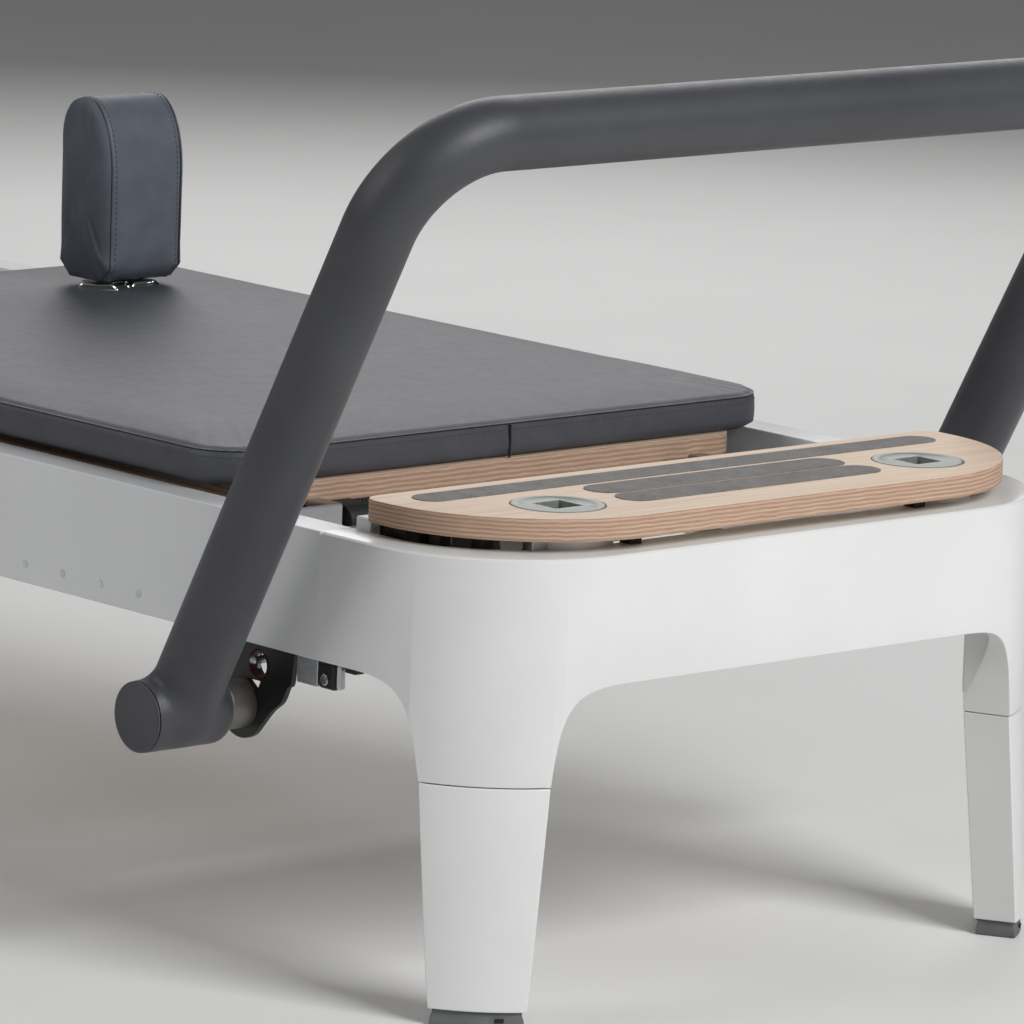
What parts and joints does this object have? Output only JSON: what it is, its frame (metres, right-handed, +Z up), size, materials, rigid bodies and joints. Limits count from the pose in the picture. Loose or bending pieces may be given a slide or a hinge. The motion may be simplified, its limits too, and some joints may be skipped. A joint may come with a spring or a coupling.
{
  "type": "pilates reformer",
  "caption": "Pilates reformer: sprung sliding carriage on rails, tilting footbar, standing platform, shoulder rests, headrest and pulley risers.",
  "frame": {"origin": "on the floor under the middle of the machine", "axes": "+X towards the foot end with the footbar, -Y the near side in the picture, +Z up"},
  "size_m": [2.38, 0.885, 0.7453],
  "materials": {
    "white_coat": "satin powder coat",
    "rail_aluminium": "satin powder coat over aluminium",
    "rubber": "matte",
    "black_plastic": "satin",
    "plywood": "clear lacquer over birch plywood",
    "socket_steel": "satin",
    "grip_strip": "fine grit",
    "footbar_cover": "soft satin skin",
    "steel": "bright",
    "vinyl": "smooth upholstery vinyl",
    "dark_vinyl": "smooth upholstery vinyl",
    "spring_steel": "satin"
  },
  "bodies": {
    "frame": {"foot_end_frame": "white_coat", "head_end_frame": "white_coat", "side_rail_left": "rail_aluminium", "side_rail_right": "rail_aluminium", "leg_foot_left": "white_coat", "leg_foot_right": "white_coat", "leg_head_left": "white_coat", "leg_head_right": "white_coat", "foot_pad_foot_left": "rubber", "foot_pad_foot_right": "rubber", "foot_pad_head_left": "rubber", "foot_pad_head_right": "rubber", "standing_platform": "plywood", "platform_socket_left": "socket_steel", "platform_socket_right": "socket_steel", "grip_strip_back": "grip_strip", "grip_strip_middle": "grip_strip", "grip_strip_front": "grip_strip", "footbar_bracket_left": "black_plastic", "footbar_bracket_right": "black_plastic", "footbar_shaft_left": "steel", "footbar_shaft_right": "steel", "lock_block_left": "black_plastic", "lock_block_right": "black_plastic", "spring_bar": "rail_aluminium", "spring_1": "spring_steel", "spring_2": "spring_steel", "spring_3": "spring_steel", "spring_4": "spring_steel", "riser_sleeve_left": "black_plastic", "riser_sleeve_right": "black_plastic"},
    "footbar": {"footbar_cover": "footbar_cover", "footbar_tube": "steel", "footbar_hub_left": "footbar_cover", "footbar_hub_right": "footbar_cover", "footbar_end_cap_left": "black_plastic", "footbar_end_cap_right": "black_plastic"},
    "carriage": {"carriage_board": "plywood", "carriage_pad": "vinyl", "spring_anchor_bar": "rail_aluminium", "wheel_carrier_left": "rail_aluminium", "wheel_carrier_right": "rail_aluminium", "carriage_buffer_left": "rubber", "carriage_buffer_right": "rubber"},
    "wheel_front_left": {"wheel_front_left": "black_plastic"},
    "wheel_front_right": {"wheel_front_right": "black_plastic"},
    "wheel_back_left": {"wheel_back_left": "black_plastic"},
    "wheel_back_right": {"wheel_back_right": "black_plastic"},
    "shoulder_rest_left": {"shoulder_pad_left": "dark_vinyl", "shoulder_post_left": "steel"},
    "shoulder_rest_right": {"shoulder_pad_right": "dark_vinyl", "shoulder_post_right": "steel"},
    "headrest": {"headrest_board": "plywood", "headrest_pad": "vinyl"},
    "lock_pin_left": {"lock_pin_left": "steel"},
    "lock_pin_right": {"lock_pin_right": "steel"},
    "riser_left": {"riser_post_left": "steel"},
    "riser_right": {"riser_post_right": "steel"},
    "pulley_left": {"pulley_left": "black_plastic"},
    "pulley_right": {"pulley_right": "black_plastic"}
  },
  "joints": [
    {"name": "carriage_slide", "type": "slide", "parent": "frame", "child": "carriage", "axis": [-1, 0, 0], "range_m": [0, 0.8], "stiffness_N_per_m": 400, "springref_m": -0.06, "deforming": ["spring_1", "spring_2", "spring_3", "spring_4"]},
    {"name": "wheel_front_left_spin", "type": "hinge", "parent": "carriage", "child": "wheel_front_left", "pos_m": [0.74, -0.251, 0.332], "axis": [0, 1, 0], "continuous": true},
    {"name": "wheel_front_right_spin", "type": "hinge", "parent": "carriage", "child": "wheel_front_right", "pos_m": [0.74, 0.251, 0.332], "axis": [0, 1, 0], "continuous": true},
    {"name": "wheel_back_left_spin", "type": "hinge", "parent": "carriage", "child": "wheel_back_left", "pos_m": [0.06, -0.251, 0.332], "axis": [0, 1, 0], "continuous": true},
    {"name": "wheel_back_right_spin", "type": "hinge", "parent": "carriage", "child": "wheel_back_right", "pos_m": [0.06, 0.251, 0.332], "axis": [0, 1, 0], "continuous": true},
    {"name": "footbar_tilt", "type": "hinge", "parent": "frame", "child": "footbar", "pos_m": [0.8852, 0, 0.2197], "axis": [0, 1, 0], "range_deg": [-59, 61]},
    {"name": "headrest_tilt", "type": "hinge", "parent": "carriage", "child": "headrest", "pos_m": [-0.078, 0, 0.3868], "axis": [0, 1, 0], "range_deg": [0, 30]},
    {"name": "shoulder_rest_left_lift", "type": "slide", "parent": "carriage", "child": "shoulder_rest_left", "axis": [0, 0, 1], "range_m": [0, 0.1]},
    {"name": "shoulder_rest_right_lift", "type": "slide", "parent": "carriage", "child": "shoulder_rest_right", "axis": [0, 0, 1], "range_m": [0, 0.1]},
    {"name": "lock_pin_left_pull", "type": "slide", "parent": "frame", "child": "lock_pin_left", "axis": [0, 1, 0], "range_m": [0, 0.01], "stiffness_N_per_m": 600, "springref_m": -0.004},
    {"name": "lock_pin_right_pull", "type": "slide", "parent": "frame", "child": "lock_pin_right", "axis": [0, -1, 0], "range_m": [0, 0.01], "stiffness_N_per_m": 600, "springref_m": -0.004},
    {"name": "riser_left_height", "type": "slide", "parent": "frame", "child": "riser_left", "axis": [0, 0, 1], "range_m": [0, 0.09]},
    {"name": "riser_right_height", "type": "slide", "parent": "frame", "child": "riser_right", "axis": [0, 0, 1], "range_m": [0, 0.09]},
    {"name": "pulley_left_spin", "type": "hinge", "parent": "riser_left", "child": "pulley_left", "pos_m": [-1.08, -0.184, 0.6], "axis": [0, 1, 0], "continuous": true},
    {"name": "pulley_right_spin", "type": "hinge", "parent": "riser_right", "child": "pulley_right", "pos_m": [-1.08, 0.184, 0.6], "axis": [0, 1, 0], "continuous": true}
  ],
  "couplings": [
    {"joint": "wheel_front_left_spin", "follows": "carriage_slide", "rad_per_m": -39.216},
    {"joint": "wheel_front_right_spin", "follows": "carriage_slide", "rad_per_m": -39.216},
    {"joint": "wheel_back_left_spin", "follows": "carriage_slide", "rad_per_m": -39.216},
    {"joint": "wheel_back_right_spin", "follows": "carriage_slide", "rad_per_m": -39.216}
  ]
}
